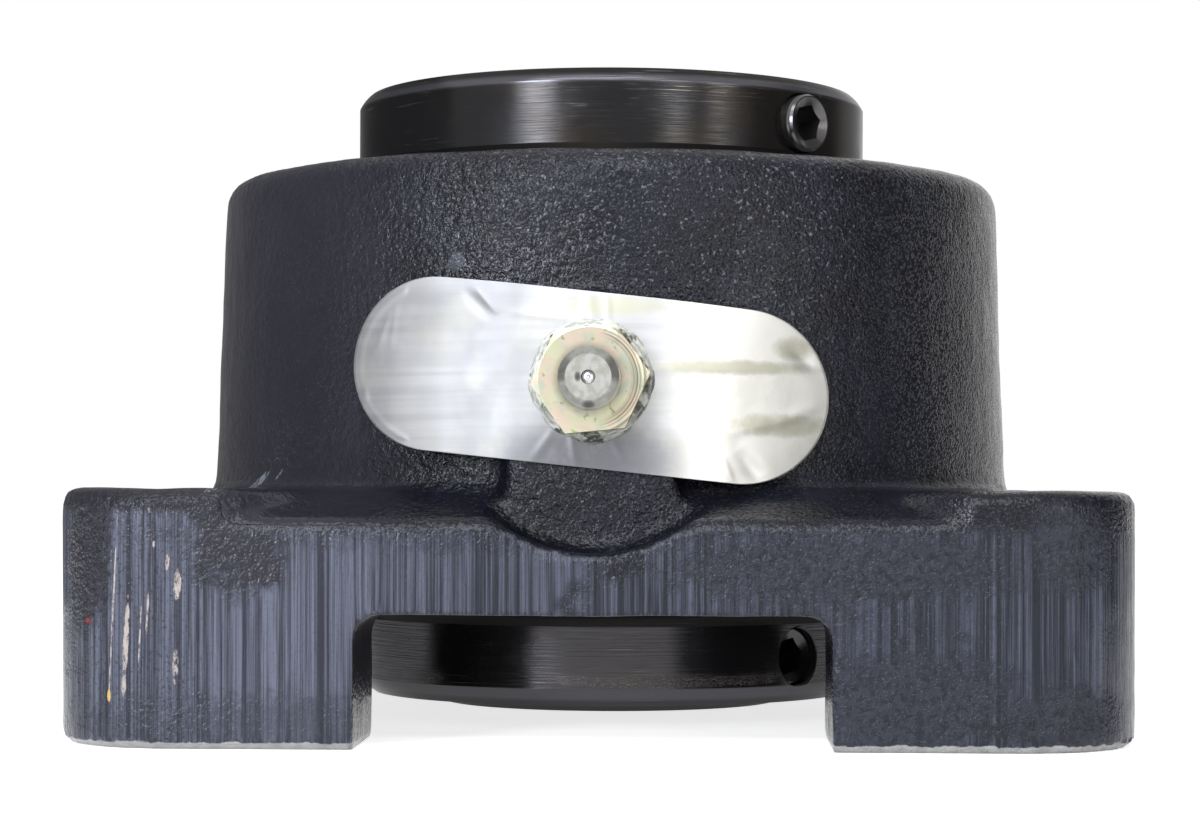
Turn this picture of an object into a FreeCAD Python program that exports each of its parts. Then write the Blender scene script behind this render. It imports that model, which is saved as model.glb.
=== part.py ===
import FreeCAD, Part
import os
from math import cos, pi, radians, sin, sqrt, tan
from FreeCAD import Vector

# Four-bolt flange bearing with a double-row tapered roller bearing and two locking collars.
# Millimetres. The origin is at the middle of the mounting plane, +Z runs up along the bore,
# and the grease fitting and the label face -Y.

# Height of the bearing's middle above the mounting plane
bearing_mid = 39.5

# Shaft and inner rings
bore_diameter = 36.513
ring_proud = 1.2
extension_diameter = 42.86
ring_end_chamfer = 0.6
land_diameter = 53.2
spacer_wall = 3.9
spacer_length = 4.0

# Locking collars and their set screws
collar_diameter = 63.06
collar_width = 10.85
collar_gap = 0.9
collar_upper_bevel_width = 1.25
collar_upper_bevel_height = 1.55
collar_lower_bevel_width = 2.05
collar_lower_bevel_height = 2.1
collar_bevel_bulge = 0.12
screw_root_diameter = 6.7
screw_mouth_bevel = 0.3
screw_socket_flats = 3.97
screw_socket_depth = 3.6
screw_dish_depth = 1.5
screw_angle = 47.0
screw_spacing_angle = 90.0
screw_recess = 1.2
upper_screw_lift = 2.7
screw_tip_chamfer = 0.8
screw_rim = 0.15
screw_thread_pitch = 1.41
screw_groove_width = 0.5
screw_groove_depth = 0.3

# Flange
flange_side = 117.475
flange_corner_radius = 13.0
bolt_edge_distance = 12.7
bolt_hole_diameter = 14.29
pad_diameter = 28.0
web_thickness = 13.35
flange_edge_drop = 3.3
flange_slope_angle = 14.0
flange_edge_round = 1.6
foot_chamfer = 0.8
foot_inner_edge = 20.74
underside_recess_wall = 1.65
web_corner_round = 2.4

# Barrel
bolt_barrel_gap = 8.81
barrel_draft = 2.0
barrel_rim_round = 3.1
barrel_fillet = 3.2
barrel_fillet_sink = 2.0

# Grease boss, scoop below it, fitting and label
boss_width = 19.0
boss_offset = -0.4
boss_proud = 2.35
boss_edge_round = 1.2
scoop_width = 21.0
scoop_drop = 3.5
fitting_hex = 11.11
fitting_hex_height = 4.9
fitting_hex_turn = 24.5
fitting_hex_bevel_width = 0.9
fitting_hex_bevel_height = 0.4
fitting_base_diameter = 9.7
fitting_thread_length = 7.5
fitting_neck_diameter = 4.7
fitting_neck_height = 1.7
fitting_head_diameter = 6.5
fitting_head_height = 3.3
fitting_tip_diameter = 4.9
fitting_tip_bevel = 0.8
fitting_flare = 0.9
fitting_bore_diameter = 1.5
fitting_hole_diameter = 3.4
fitting_mouth_depth = 0.45
fitting_seat_thickness = 1.0
ball_diameter = 2.4
ball_clearance = 0.05
spring_wire = 0.35
spring_turns = 5
grease_passage_diameter = 3.5
label_width = 53.6
label_height = 19.0
label_tilt = 6.0
label_thickness = 0.15
label_hole_clearance = 0.4
sealant_diameter = 14.4
sealant_height = 1.1
label_shift = -0.7
label_rise = 0.1

# Bearing rows
cup_diameter = 73.431
cup_width = 14.73
cup_chamfer = 0.8
rib_width = 5.0
rib_step = 3.2
cup_race_angle = 15.0
cone_race_angle = 11.46
cup_race_mean_diameter = 63.8
roller_count = 18
roller_length = 12.0
roller_clearance = 0.10
rib_clearance = 0.12
small_rib_height = 0.8
cage_wall = 1.2
cage_cup_gap = 0.8
cage_pocket_clearance = 0.25
cage_large_ring = 2.3
cage_middle_gap = 2.2
cage_lip_depth = 2.6

# Seals
seal_bore_step = 0.88
seal_case_width = 6.0
seal_case_wall = 1.0
seal_case_gap = 2.65
seal_lip_thickness = 1.6
seal_lip_clearance = 0.12
seal_shoulder = 0.6
lower_mouth_depth = 1.32
upper_mouth_depth = 2.07

# Clearance between a collar and the ring it clamps, on the radius
collar_fit = 0.02

# Places worked out from the sizes above
bore_radius = bore_diameter / 2
extension_radius = extension_diameter / 2
land_radius = land_diameter / 2
collar_radius = collar_diameter / 2
screw_radius = screw_root_diameter / 2
half_flange = flange_side / 2
bolt_hole_radius = bolt_hole_diameter / 2
bolt_place = half_flange - bolt_edge_distance
foot_gap = 2 * (bolt_place - foot_inner_edge)
barrel_base_radius = bolt_place * sqrt(2) - bolt_hole_radius - bolt_barrel_gap
cup_radius = cup_diameter / 2
cup_race_radius = cup_race_mean_diameter / 2
cup_back = bearing_mid - rib_width / 2
cup_front = cup_back - cup_width
seal_bore_radius = cup_radius + seal_bore_step
seal_opening_radius = land_radius + seal_case_gap
seal_seat = cup_front - seal_shoulder
seal_face = seal_seat - seal_case_width
web_underside = seal_face - lower_mouth_depth
barrel_top = 2 * bearing_mid - seal_face + upper_mouth_depth
shoulder_bottom = web_underside - collar_gap
collar_bottom = shoulder_bottom - collar_width
ring_bottom = collar_bottom - ring_proud
pad_top = web_underside + web_thickness
flange_edge_top = pad_top - flange_edge_drop
scoop_bottom = flange_edge_top - scoop_drop
boss_depth = barrel_base_radius + boss_proud
row_mid = cup_back - cup_width / 2
apex_distance = cup_race_radius / tan(radians(cup_race_angle))
apex_height = row_mid + apex_distance
roller_axis_angle = (cup_race_angle + cone_race_angle) / 2
roller_half_angle = (cup_race_angle - cone_race_angle) / 2
roller_reach = apex_distance / cos(radians(roller_axis_angle))
boss_middle = Vector(boss_offset, -boss_depth, bearing_mid)
up = Vector(0, 0, 1)
front = Vector(0, -1, 0)


def revolve(points):
    """Turn a closed outline of (radius, height) points about the bore axis."""
    outline = Part.makePolygon([Vector(r, 0, z) for r, z in points + points[:1]])
    return Part.Face(outline).revolve(Vector(), up, 360)


def mirror_row(shape):
    """Reflect a piece of the lower row to its place in the upper row."""
    return shape.mirror(Vector(0, 0, bearing_mid), up)


def barrel_radius(z):
    """Outside radius of the drafted barrel at a height."""
    return barrel_base_radius - (z - pad_top) * tan(radians(barrel_draft))


def cup_race(z):
    """Radius of the outer race of the lower row at a height."""
    return (apex_height - z) * tan(radians(cup_race_angle))


def along_roller(distance, side):
    """Point (radius, height) at a distance from the apex along a roller, offset square to its axis."""
    angle = radians(roller_axis_angle)
    radius = distance * sin(angle) + side * cos(angle)
    height = apex_height - distance * cos(angle) + side * sin(angle)
    return radius, height


def roller_radius(distance):
    """Radius of a roller with no clearance at a distance from the apex."""
    return distance * tan(radians(roller_half_angle))


def rounded_square(side, radius, height):
    """Square block with rounded corners, standing on the mounting plane."""
    block = Part.makeBox(side, side, height, Vector(-side / 2, -side / 2, 0))
    corners = [e for e in block.Edges if abs(e.tangentAt(e.FirstParameter).z) > 0.9]
    return block.makeFillet(radius, corners)


def loop_edges(shape, z):
    """Edges of a shape that lie at one height."""
    return [e for e in shape.Edges if abs(e.BoundBox.ZMin - z) < 1e-5 and abs(e.BoundBox.ZMax - z) < 1e-5]


def make_flange_plate():
    """Square plate with four bolt pads and tops that slope down to the edge between them."""
    plate = rounded_square(flange_side, flange_corner_radius, pad_top)
    plate = plate.makeFillet(flange_edge_round, loop_edges(plate, pad_top))
    plate = plate.makeChamfer(foot_chamfer, loop_edges(plate, 0))
    pads = [Part.makeCylinder(pad_diameter / 2, pad_top * 2, Vector(x, y, 0))
            for x in (-bolt_place, bolt_place) for y in (-bolt_place, bolt_place)]
    slope = radians(flange_slope_angle)
    reach = (pad_top - flange_edge_top) / tan(slope)
    tangent = flange_edge_round * tan((pi / 2 - slope) / 2)
    turn = (pi / 2 - slope) / 2
    face_y = -half_flange
    center = Vector(0, face_y + flange_edge_round, flange_edge_top - tangent)
    bulge = center + Vector(0, -cos(turn), sin(turn)) * flange_edge_round
    start = Vector(0, face_y, center.z)
    end = center + Vector(0, -sin(slope), cos(slope)) * flange_edge_round
    inner = Vector(0, face_y + reach, pad_top)
    outline = [Part.makeLine(start - Vector(0, 2, 0), start), Part.Arc(start, bulge, end).toShape(),
               Part.makePolygon([end, inner, inner + Vector(0, 0, 2), start + Vector(0, -2, pad_top),
                                 start - Vector(0, 2, 0)])]
    profile = Part.Face(Part.Wire([e for s in outline for e in s.Edges]))
    profile.translate(Vector(-half_flange, 0, 0))
    wedge = profile.extrude(Vector(flange_side, 0, 0)).cut(pads)
    for quarter in range(4):
        side = wedge.copy()
        side.rotate(Vector(), up, 90 * quarter)
        plate = plate.cut(side)
    return plate


def make_barrel():
    """Drafted round barrel with a rolled rim and a fillet down to the flange."""
    foot = pad_top - barrel_fillet_sink
    base = barrel_radius(foot + barrel_fillet)
    rim = barrel_radius(barrel_top - barrel_rim_round)
    points = [Vector(0, 0, web_underside), Vector(base + barrel_fillet, 0, web_underside),
              Vector(base + barrel_fillet, 0, foot)]
    hollow = Vector(base + barrel_fillet * (1 - sin(pi / 4)), 0, foot + barrel_fillet * (1 - cos(pi / 4)))
    shoulder = Vector(base, 0, foot + barrel_fillet)
    rim_start = Vector(rim, 0, barrel_top - barrel_rim_round)
    rim_middle = rim_start + Vector(cos(pi / 4) - 1, 0, sin(pi / 4)) * barrel_rim_round
    rim_end = rim_start + Vector(-barrel_rim_round, 0, barrel_rim_round)
    edges = Part.makePolygon(points).Edges
    edges.append(Part.Arc(points[-1], hollow, shoulder).toShape())
    edges.append(Part.makeLine(shoulder, rim_start))
    edges.append(Part.Arc(rim_start, rim_middle, rim_end).toShape())
    edges += Part.makePolygon([rim_end, Vector(0, 0, barrel_top), points[0]]).Edges
    return Part.Face(Part.Wire(edges)).revolve(Vector(), up, 360)


def make_boss(growth=0.0):
    """Flat-faced boss with a round top that carries the grease fitting."""
    half = boss_width / 2 + growth
    low = Vector(boss_offset - half, 0, web_underside)
    depth = boss_depth + growth
    post = Part.makeBox(2 * half, depth, bearing_mid - web_underside, low - Vector(0, depth, 0))
    top = Part.makeCylinder(half, depth, Vector(boss_offset, 0, bearing_mid), front)
    boss = post.fuse(top).removeSplitter()
    rim = [e for e in boss.Edges if e.BoundBox.YMax < 0.01 - depth and e.BoundBox.ZMax > web_underside + 1]
    return boss.makeFillet(boss_edge_round + growth, rim)


def make_housing():
    """Cast housing: flange on four feet, barrel, boss, stepped bore, bolt holes and grease passage."""
    body = make_flange_plate().fuse([make_barrel(), make_boss()])
    half_scoop = scoop_width / 2
    scoop_radius = (half_scoop ** 2 + scoop_drop ** 2) / (2 * scoop_drop)
    scoop = Part.makeCylinder(scoop_radius, half_flange, Vector(0, -boss_depth, scoop_bottom + scoop_radius), front)
    keep = Part.makeBox(2 * scoop_radius, half_flange, barrel_top, Vector(-scoop_radius, -half_flange - 1, 0))
    body = body.cut(scoop.common(keep))
    channel_length = flange_side + 2
    channel = Part.makeBox(foot_gap, channel_length, web_underside + 1,
                           Vector(-foot_gap / 2, -channel_length / 2, -1))
    long_edges = [e for e in loop_edges(channel, web_underside) if e.BoundBox.YLength > foot_gap * 1.5]
    channel = channel.makeFillet(web_corner_round, long_edges)
    across = channel.copy()
    across.rotate(Vector(), up, 90)
    recess = Part.makeCylinder(barrel_base_radius - underside_recess_wall, web_underside + 1, Vector(0, 0, -1))
    recess = recess.makeFillet(web_corner_round, loop_edges(recess, web_underside))
    body = body.cut([channel, across, recess])
    holes = [Part.makeCylinder(bolt_hole_radius, pad_top + 2, Vector(x, y, -1))
             for x in (-bolt_place, bolt_place) for y in (-bolt_place, bolt_place)]
    body = body.cut(holes)
    upper_seat = 2 * bearing_mid - seal_seat
    rib_radius = cup_radius - rib_step
    bore = revolve([(0, web_underside - 1), (seal_bore_radius, web_underside - 1), (seal_bore_radius, seal_seat),
                    (cup_radius, seal_seat), (cup_radius, cup_back), (rib_radius, cup_back),
                    (rib_radius, cup_back + rib_width), (cup_radius, cup_back + rib_width),
                    (cup_radius, upper_seat), (seal_bore_radius, upper_seat),
                    (seal_bore_radius, barrel_top + 1), (0, barrel_top + 1)])
    body = body.cut(bore)
    passage = Part.makeCylinder(grease_passage_diameter / 2, boss_depth, Vector(boss_offset, 0, bearing_mid), front)
    thread = Part.makeCylinder(fitting_base_diameter / 2, fitting_thread_length,
                               boss_middle - front * fitting_thread_length, front)
    return body.cut([passage, thread])


def make_hexagon():
    """Flat outline of the fitting's hexagon, in its turned position."""
    corner = fitting_hex / sqrt(3)
    turns = [radians(60 * k + fitting_hex_turn) for k in range(7)]
    return Part.Face(Part.makePolygon([Vector(corner * sin(a), corner * cos(a), 0) for a in turns]))


def make_fitting():
    """Grease fitting: threaded shank, hexagon, neck, ball-ended head and stepped passage."""
    face = fitting_hex_height
    neck_top = face + fitting_neck_height
    tip = neck_top + fitting_head_height
    shank = Part.makeCylinder(fitting_base_diameter / 2, fitting_thread_length,
                              Vector(0, 0, -fitting_thread_length), up)
    nut = make_hexagon().extrude(Vector(0, 0, face))
    face_radius = fitting_hex / sqrt(3) - fitting_hex_bevel_width
    spread = face * fitting_hex_bevel_width / fitting_hex_bevel_height
    nut = nut.common(Part.makeCone(face_radius + spread, face_radius, face, Vector(), up))
    neck = fitting_neck_diameter / 2
    head = fitting_head_diameter / 2
    flare = fitting_flare
    stem = revolve([(0, face - flare), (neck + flare, face - flare), (neck + flare, face + flare / 2),
                    (neck, face + flare), (neck, neck_top - flare / 2), (head, neck_top + flare / 2),
                    (head, tip - fitting_tip_bevel), (fitting_tip_diameter / 2, tip), (0, tip)])
    chamber = Part.makeCylinder(fitting_hole_diameter / 2, ball_seat_height() - spring_seat_height(),
                                Vector(0, 0, spring_seat_height()), up)
    through = Part.makeCylinder(fitting_bore_diameter / 2, tip + fitting_thread_length + 2,
                                Vector(0, 0, -fitting_thread_length - 1), up)
    return place_on_boss(shank.fuse([nut, stem]).cut([chamber, through]))


def place_on_boss(shape):
    """Turn a piece built upright so that it points out of the boss face."""
    shape.rotate(Vector(), Vector(1, 0, 0), 90)
    shape.translate(boss_middle)
    return shape


def ball_seat_height():
    """Height above the boss face of the ledge in the head that the check ball closes."""
    return fitting_hex_height + fitting_neck_height + fitting_head_height - fitting_mouth_depth


def spring_seat_height():
    """Height, below the boss face, of the ledge at the end of the shank that carries the spring."""
    return fitting_seat_thickness - fitting_thread_length


def ball_height():
    """Height of the check ball's middle above the boss face, just clear of the ledge."""
    mouth = fitting_bore_diameter / 2
    reach = ball_diameter / 2 + ball_clearance
    return ball_seat_height() - sqrt(reach ** 2 - mouth ** 2)


def make_ball():
    """Check ball under the ledge in the head of the fitting."""
    return place_on_boss(Part.makeSphere(ball_diameter / 2, Vector(0, 0, ball_height())))


def make_spring():
    """Small spring under the check ball: even coils of square wire, joined along one side."""
    top = ball_height() - ball_diameter / 4
    bottom = spring_seat_height()
    outer = fitting_hole_diameter / 2 - ball_clearance
    inner = outer - spring_wire
    pitch = (top - bottom - spring_wire) / (spring_turns - 1)
    coils = []
    for turn in range(spring_turns):
        low = bottom + pitch * turn
        high = low + spring_wire
        coils.append(revolve([(inner, low), (outer, low), (outer, high), (inner, high)]))
    side = spring_wire / 2
    post = Part.makeBox(side, side, top - bottom, Vector(inner + side / 2, -side / 2, bottom))
    return place_on_boss(coils[0].fuse(coils[1:] + [post]))


def make_label():
    """Foil label with round ends that follows the barrel and the boss, with a hole for the fitting."""
    body = make_barrel().fuse(make_boss())
    reach = barrel_radius(bearing_mid)
    skin = label_thickness
    low = web_underside
    grown = revolve([(0, low), (barrel_radius(low) + skin, low),
                     (barrel_radius(barrel_top) + skin, barrel_top), (0, barrel_top)])
    grown = grown.fuse(make_boss(skin))
    end = label_height / 2
    straight = label_width - label_height
    depth = 2 * reach
    slab = Part.makeBox(straight, depth, label_height, Vector(-straight / 2, -depth, -end))
    ends = [Part.makeCylinder(end, depth, Vector(x, 0, 0), front) for x in (-straight / 2, straight / 2)]
    shape = slab.fuse(ends)
    shape.rotate(Vector(), Vector(0, 1, 0), label_tilt)
    shape.translate(Vector(boss_offset + label_shift, 0, bearing_mid + label_rise))
    hole_radius = fitting_hex / sqrt(3) + label_hole_clearance
    hole = Part.makeCylinder(hole_radius, depth, Vector(boss_offset, 0, bearing_mid), front)
    return grown.common(shape).cut([body, hole])


def make_sealant():
    """Bead of thread sealant squeezed out round the hexagon, over the edge of the hole in the label."""
    hole_radius = fitting_hex / sqrt(3) + label_hole_clearance
    outer = sealant_diameter / 2
    skin = label_thickness
    bead = revolve([(0, 0), (hole_radius, 0), (hole_radius, skin), (outer, skin), (outer, skin * 3),
                    (hole_radius, sealant_height), (0, sealant_height)])
    return place_on_boss(bead.cut(make_hexagon().extrude(Vector(0, 0, sealant_height * 2))))


def bulged(start, end, bulge):
    """Arc from a point of an outline to the next, standing out to the right of the straight way."""
    way = end - start
    out = Vector(way.z, 0, -way.x).normalize()
    return Part.Arc(start, (start + end) * 0.5 + out * bulge, end).toShape()


def make_collar():
    """Lower locking collar with a large bevel below and a small one above, both slightly round,
    and two tapped holes, bevelled at the mouth, for its set screws."""
    outer = collar_radius
    low = collar_bottom
    high = collar_bottom + collar_width
    under = Vector(outer - collar_lower_bevel_width, 0, low)
    under_end = Vector(outer, 0, low + collar_lower_bevel_height)
    over = Vector(outer, 0, high - collar_upper_bevel_height)
    over_end = Vector(outer - collar_upper_bevel_width, 0, high)
    inside = [Vector(extension_radius + collar_fit, 0, z) for z in (high, low)]
    edges = [bulged(under, under_end, collar_bevel_bulge), Part.makeLine(under_end, over),
             bulged(over, over_end, collar_bevel_bulge)]
    edges += Part.makePolygon([over_end] + inside + [under]).Edges
    ring = Part.Face(Part.Wire(edges)).revolve(Vector(), up, 360)
    center = up * (low + collar_width / 2)
    bevel = screw_mouth_bevel
    holes = [Part.makeCylinder(screw_radius, collar_radius, center, ray) for ray in screw_rays()]
    holes += [Part.makeCone(screw_radius, screw_radius + bevel * 2, bevel * 2, center + ray * (outer - bevel), ray)
              for ray in screw_rays()]
    return ring.cut(holes)


def screw_rays():
    """Directions of the two set screws of a collar, seen from the axis."""
    angles = [radians(screw_angle - 90 + screw_spacing_angle * k) for k in range(2)]
    return [Vector(cos(a), sin(a), 0) for a in angles]


def raise_collar(shape):
    """Carry a piece of the lower collar, the same way up, to the upper collar's place."""
    raised = shape.copy()
    raised.translate(up * (2 * bearing_mid - collar_width - 2 * collar_bottom))
    return raised


def make_screw(ray, lift):
    """Set screw of the lower collar, lifted off the ring: cup point inward, thread drawn as round
    grooves, and a dished end with a hexagon socket outward."""
    middle = collar_bottom + collar_width / 2
    start = extension_radius + lift
    length = collar_radius - screw_recess - extension_radius
    tip = screw_tip_chamfer
    rim = screw_rim
    half_groove = screw_groove_width / 2
    side = []
    for turn in range(int((length - tip) / screw_thread_pitch)):
        groove = length - rim * 2 - half_groove - turn * screw_thread_pitch
        side += [(screw_radius, groove + half_groove), (screw_radius - screw_groove_depth, groove),
                 (screw_radius, groove - half_groove)]
    body = revolve([(0, 0), (screw_radius - tip, 0), (screw_radius, tip)] + side[::-1]
                   + [(screw_radius - rim, length), (screw_radius - rim * 2, length), (0, length - screw_dish_depth)])
    cup_radius_at_point = screw_radius - tip * 2
    cup = Part.makeCone(cup_radius_at_point, cup_radius_at_point / 10, cup_radius_at_point / 2)
    corner = screw_socket_flats / sqrt(3)
    hexagon = Part.makePolygon([Vector(corner * cos(pi / 3 * k), corner * sin(pi / 3 * k), length)
                                for k in range(7)])
    socket = Part.Face(hexagon).extrude(Vector(0, 0, -screw_socket_depth))
    screw = body.cut([cup, socket])
    screw.Placement = FreeCAD.Placement(ray * start + up * middle, FreeCAD.Rotation(up, ray))
    return screw


def make_cup():
    """Outer cup of the lower row, thick side against the rib of the housing."""
    edge = cup_chamfer
    return revolve([(cup_race(cup_front), cup_front), (cup_radius - edge, cup_front),
                    (cup_radius, cup_front + edge), (cup_radius, cup_back - edge), (cup_radius - edge, cup_back),
                    (cup_race(cup_back), cup_back)])


def make_inner_ring():
    """Lower inner ring: extension for the collar, seal land, large rib, tapered race and small rib."""
    large = roller_reach + roller_length / 2 + rib_clearance
    small = roller_reach - roller_length / 2 - rib_clearance
    rib_foot = along_roller(large, -roller_radius(large))
    slope = tan(radians(roller_axis_angle))
    rib_top = rib_foot[1] + (land_radius - rib_foot[0]) * slope
    small_foot = along_roller(small, -roller_radius(small))
    small_radius = small_foot[0] + small_rib_height
    small_top = small_foot[1] + small_rib_height * slope
    end = bearing_mid - spacer_length / 2
    edge = ring_end_chamfer
    return revolve([(bore_radius, ring_bottom), (extension_radius - edge, ring_bottom),
                    (extension_radius, ring_bottom + edge), (extension_radius, shoulder_bottom),
                    (land_radius, shoulder_bottom), (land_radius, rib_top), rib_foot, small_foot,
                    (small_radius, small_top), (small_radius, end), (bore_radius, end)])


def make_spacer():
    """Spacer ring between the two inner rings."""
    low = bearing_mid - spacer_length / 2
    outer = bore_radius + spacer_wall
    return revolve([(bore_radius, low), (outer, low), (outer, low + spacer_length), (bore_radius, low + spacer_length)])


def place_roller(shape, index):
    """Lay a piece built along +Z from the apex on the cone of roller axes, at one of the stations."""
    shape.rotate(Vector(), Vector(0, 1, 0), 180 - roller_axis_angle)
    shape.translate(Vector(0, 0, apex_height))
    shape.rotate(Vector(), up, 360.0 * index / roller_count)
    return shape


def tapered_body(growth, extra_length):
    """Tapered roller on the +Z axis at its distance from the apex, thicker or thinner by a growth."""
    start = roller_reach - roller_length / 2 - extra_length
    length = roller_length + 2 * extra_length
    return Part.makeCone(roller_radius(start) + growth, roller_radius(start + length) + growth, length,
                         Vector(0, 0, start), up)


def make_roller(index):
    """One tapered roller of the lower row."""
    return place_roller(tapered_body(-roller_clearance, 0.0), index)


def make_cage():
    """Cage of the lower row: tapered shell with a window for each roller and a turned-in lip."""
    top = bearing_mid - cage_middle_gap / 2
    bottom = along_roller(roller_reach + roller_length / 2, roller_radius(roller_reach))[1] - cage_large_ring

    def shell(z, depth):
        return cup_race(z) - cage_cup_gap - depth

    inner_top = top - cage_wall
    lip = shell(top, cage_lip_depth)
    body = revolve([(shell(bottom, cage_wall), bottom), (shell(bottom, 0), bottom), (shell(top, 0), top),
                    (lip, top), (lip, inner_top), (shell(inner_top, cage_wall), inner_top)])
    windows = [place_roller(tapered_body(cage_pocket_clearance, cage_pocket_clearance), k)
               for k in range(roller_count)]
    return body.cut(windows)


def make_seal_case():
    """Pressed metal case of the lower seal, with its wall against the bore of the housing."""
    top = seal_seat
    low = seal_face
    outer = seal_bore_radius
    opening = seal_opening_radius
    wall = seal_case_wall
    edge = wall / 2
    return revolve([(opening, low), (outer - edge, low), (outer, low + edge), (outer, top), (outer - wall, top),
                    (outer - wall, low + wall), (opening, low + wall)])


def make_seal_lip():
    """Rubber lip of the lower seal, bonded in its case and riding on the land of the inner ring."""
    low = seal_face + seal_case_wall
    outer = seal_bore_radius - seal_case_wall
    inner = land_radius + seal_lip_clearance
    opening = seal_opening_radius
    thick = seal_lip_thickness
    return revolve([(inner + thick / 2, seal_face), (opening, seal_face), (opening, low), (outer, low),
                    (outer, low + thick), (inner + thick, low + thick), (inner + thick / 2, low + thick * 2.2),
                    (inner, low + thick * 2), (inner, low + thick * 1.5)])


def build():
    """All the pieces by name, lower row first and upper row as its mirror image."""
    pieces = {"housing": make_housing(), "grease_fitting_body": make_fitting(), "grease_fitting_ball": make_ball(),
              "grease_fitting_spring": make_spring(), "foil_label": make_label(),
              "fitting_sealant": make_sealant(), "inner_ring_spacer": make_spacer()}
    makers = {"cup": make_cup, "inner_ring": make_inner_ring, "cage": make_cage, "seal_case": make_seal_case,
              "seal_lip": make_seal_lip}
    for name, make in makers.items():
        lower = make()
        pieces["lower_" + name] = lower
        pieces["upper_" + name] = mirror_row(lower)
    pieces["lower_collar"] = make_collar()
    pieces["upper_collar"] = raise_collar(pieces["lower_collar"])
    for place, ray in zip(("front", "rear"), screw_rays()):
        pieces["lower_%s_set_screw" % place] = make_screw(ray, 0.0)
        pieces["upper_%s_set_screw" % place] = raise_collar(make_screw(ray, upper_screw_lift))
    for index in range(roller_count):
        roller = make_roller(index)
        pieces["lower_roller_%02d" % (index + 1)] = roller
        pieces["upper_roller_%02d" % (index + 1)] = mirror_row(roller)
    return pieces


os.makedirs("parts", exist_ok=True)
for name, shape in build().items():
    shape.exportStep("parts/" + name + ".step")
    box = shape.BoundBox
    print("%-24s solids %d valid %s volume %10.2f z %7.3f %7.3f" % (
        name, len(shape.Solids), shape.isValid(), shape.Volume, box.ZMin, box.ZMax))
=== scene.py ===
from math import radians

import bpy
import numpy as np
from mathutils import Matrix, Vector


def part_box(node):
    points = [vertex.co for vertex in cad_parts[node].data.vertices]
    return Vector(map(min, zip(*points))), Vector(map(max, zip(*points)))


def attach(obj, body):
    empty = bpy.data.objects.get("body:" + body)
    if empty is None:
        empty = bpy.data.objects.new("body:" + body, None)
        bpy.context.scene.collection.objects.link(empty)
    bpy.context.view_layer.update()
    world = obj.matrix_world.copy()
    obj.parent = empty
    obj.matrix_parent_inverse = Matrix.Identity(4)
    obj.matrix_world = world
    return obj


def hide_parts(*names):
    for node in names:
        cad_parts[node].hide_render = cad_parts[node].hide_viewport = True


# Four-bolt flange bearing with two locking collars. All sizes are in metres, in the frame of the
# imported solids: the mounting plane is at height 0, the bore runs up +Z and the grease fitting faces -Y.
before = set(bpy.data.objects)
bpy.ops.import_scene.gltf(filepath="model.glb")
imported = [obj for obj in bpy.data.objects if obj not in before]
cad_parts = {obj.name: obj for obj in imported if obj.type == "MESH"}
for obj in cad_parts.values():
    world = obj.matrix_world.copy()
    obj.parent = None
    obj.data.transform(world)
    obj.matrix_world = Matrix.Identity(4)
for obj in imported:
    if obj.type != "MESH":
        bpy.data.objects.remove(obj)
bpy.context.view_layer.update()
MM = 0.001


# Camera: at the height of the flange, a little to the right of the fitting and looking level. The lens
# is a long one, and the picture is shifted so that the horizon lies below its middle.
def put(name, data):
    """A new object in the scene that shows the given data."""
    thing = bpy.data.objects.new(name, data)
    bpy.context.scene.collection.objects.link(thing)
    return thing


eye_distance = 360.36 * MM
eye_height = 27.96 * MM
eye_turn = radians(1.84)
eye_roll = radians(0.17)
photo_width = 1200
focal_pixels = 2862
axis_column = 610.4
horizon_row = 487.3
middle_row = 411
camera_data = bpy.data.cameras.new("camera")
camera_data.sensor_width = 36
camera_data.lens = camera_data.sensor_width * focal_pixels / photo_width
camera_data.shift_x = (photo_width / 2 - axis_column) / photo_width
camera_data.shift_y = (horizon_row - middle_row) / photo_width
camera_data.clip_start = 10 * MM
camera = put("camera", camera_data)
camera.matrix_world = (Matrix.Rotation(eye_turn, 4, "Z") @ Matrix.Translation((0, -eye_distance, eye_height))
                       @ Matrix.Rotation(radians(90), 4, "X") @ Matrix.Rotation(eye_roll, 4, "Z"))
bpy.context.scene.camera = camera
bpy.context.scene.view_settings.view_transform = "Standard"


# Studio: a pale floor under the feet, white all round, four soft boxes in front and one overhead. Two
# grey cards beside the object are seen only in its gloss, so that its black sides don't mirror the white.
def feed(tree, node, inputs):
    """Set each named input of a node to a value, or link it to an output."""
    for name, value in inputs.items():
        if isinstance(value, bpy.types.NodeSocket):
            tree.links.new(value, node.inputs[name])
        else:
            node.inputs[name].default_value = value


def add_node(tree, kind, inputs=None, **settings):
    """A node with its settings, and its inputs set to values or linked to outputs."""
    node = tree.nodes.new(kind)
    for name, value in settings.items():
        setattr(node, name, value)
    feed(tree, node, inputs or {})
    return node


def new_material(name, color, roughness, metallic=0.0):
    """A material with a plain surface shader; returns it with its node tree and the shader."""
    material = bpy.data.materials.new(name)
    material.use_nodes = True
    tree = material.node_tree
    shader = tree.nodes["Principled BSDF"]
    feed(tree, shader, {"Base Color": (*color, 1), "Roughness": roughness, "Metallic": metallic})
    return material, tree, shader


def math(tree, operation, a, b=0.0):
    """One step of arithmetic on values or sockets."""
    return add_node(tree, "ShaderNodeMath", {0: a, 1: b}, operation=operation).outputs[0]


def ramp(tree, value, low, high, to_low=0.0, to_high=1.0):
    """A value carried from one range to another with soft ends and clamped there."""
    node = add_node(tree, "ShaderNodeMapRange", {"Value": value, "From Min": low, "From Max": high,
                                                 "To Min": to_low, "To Max": to_high},
                    interpolation_type="SMOOTHSTEP")
    return node.outputs["Result"]


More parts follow.
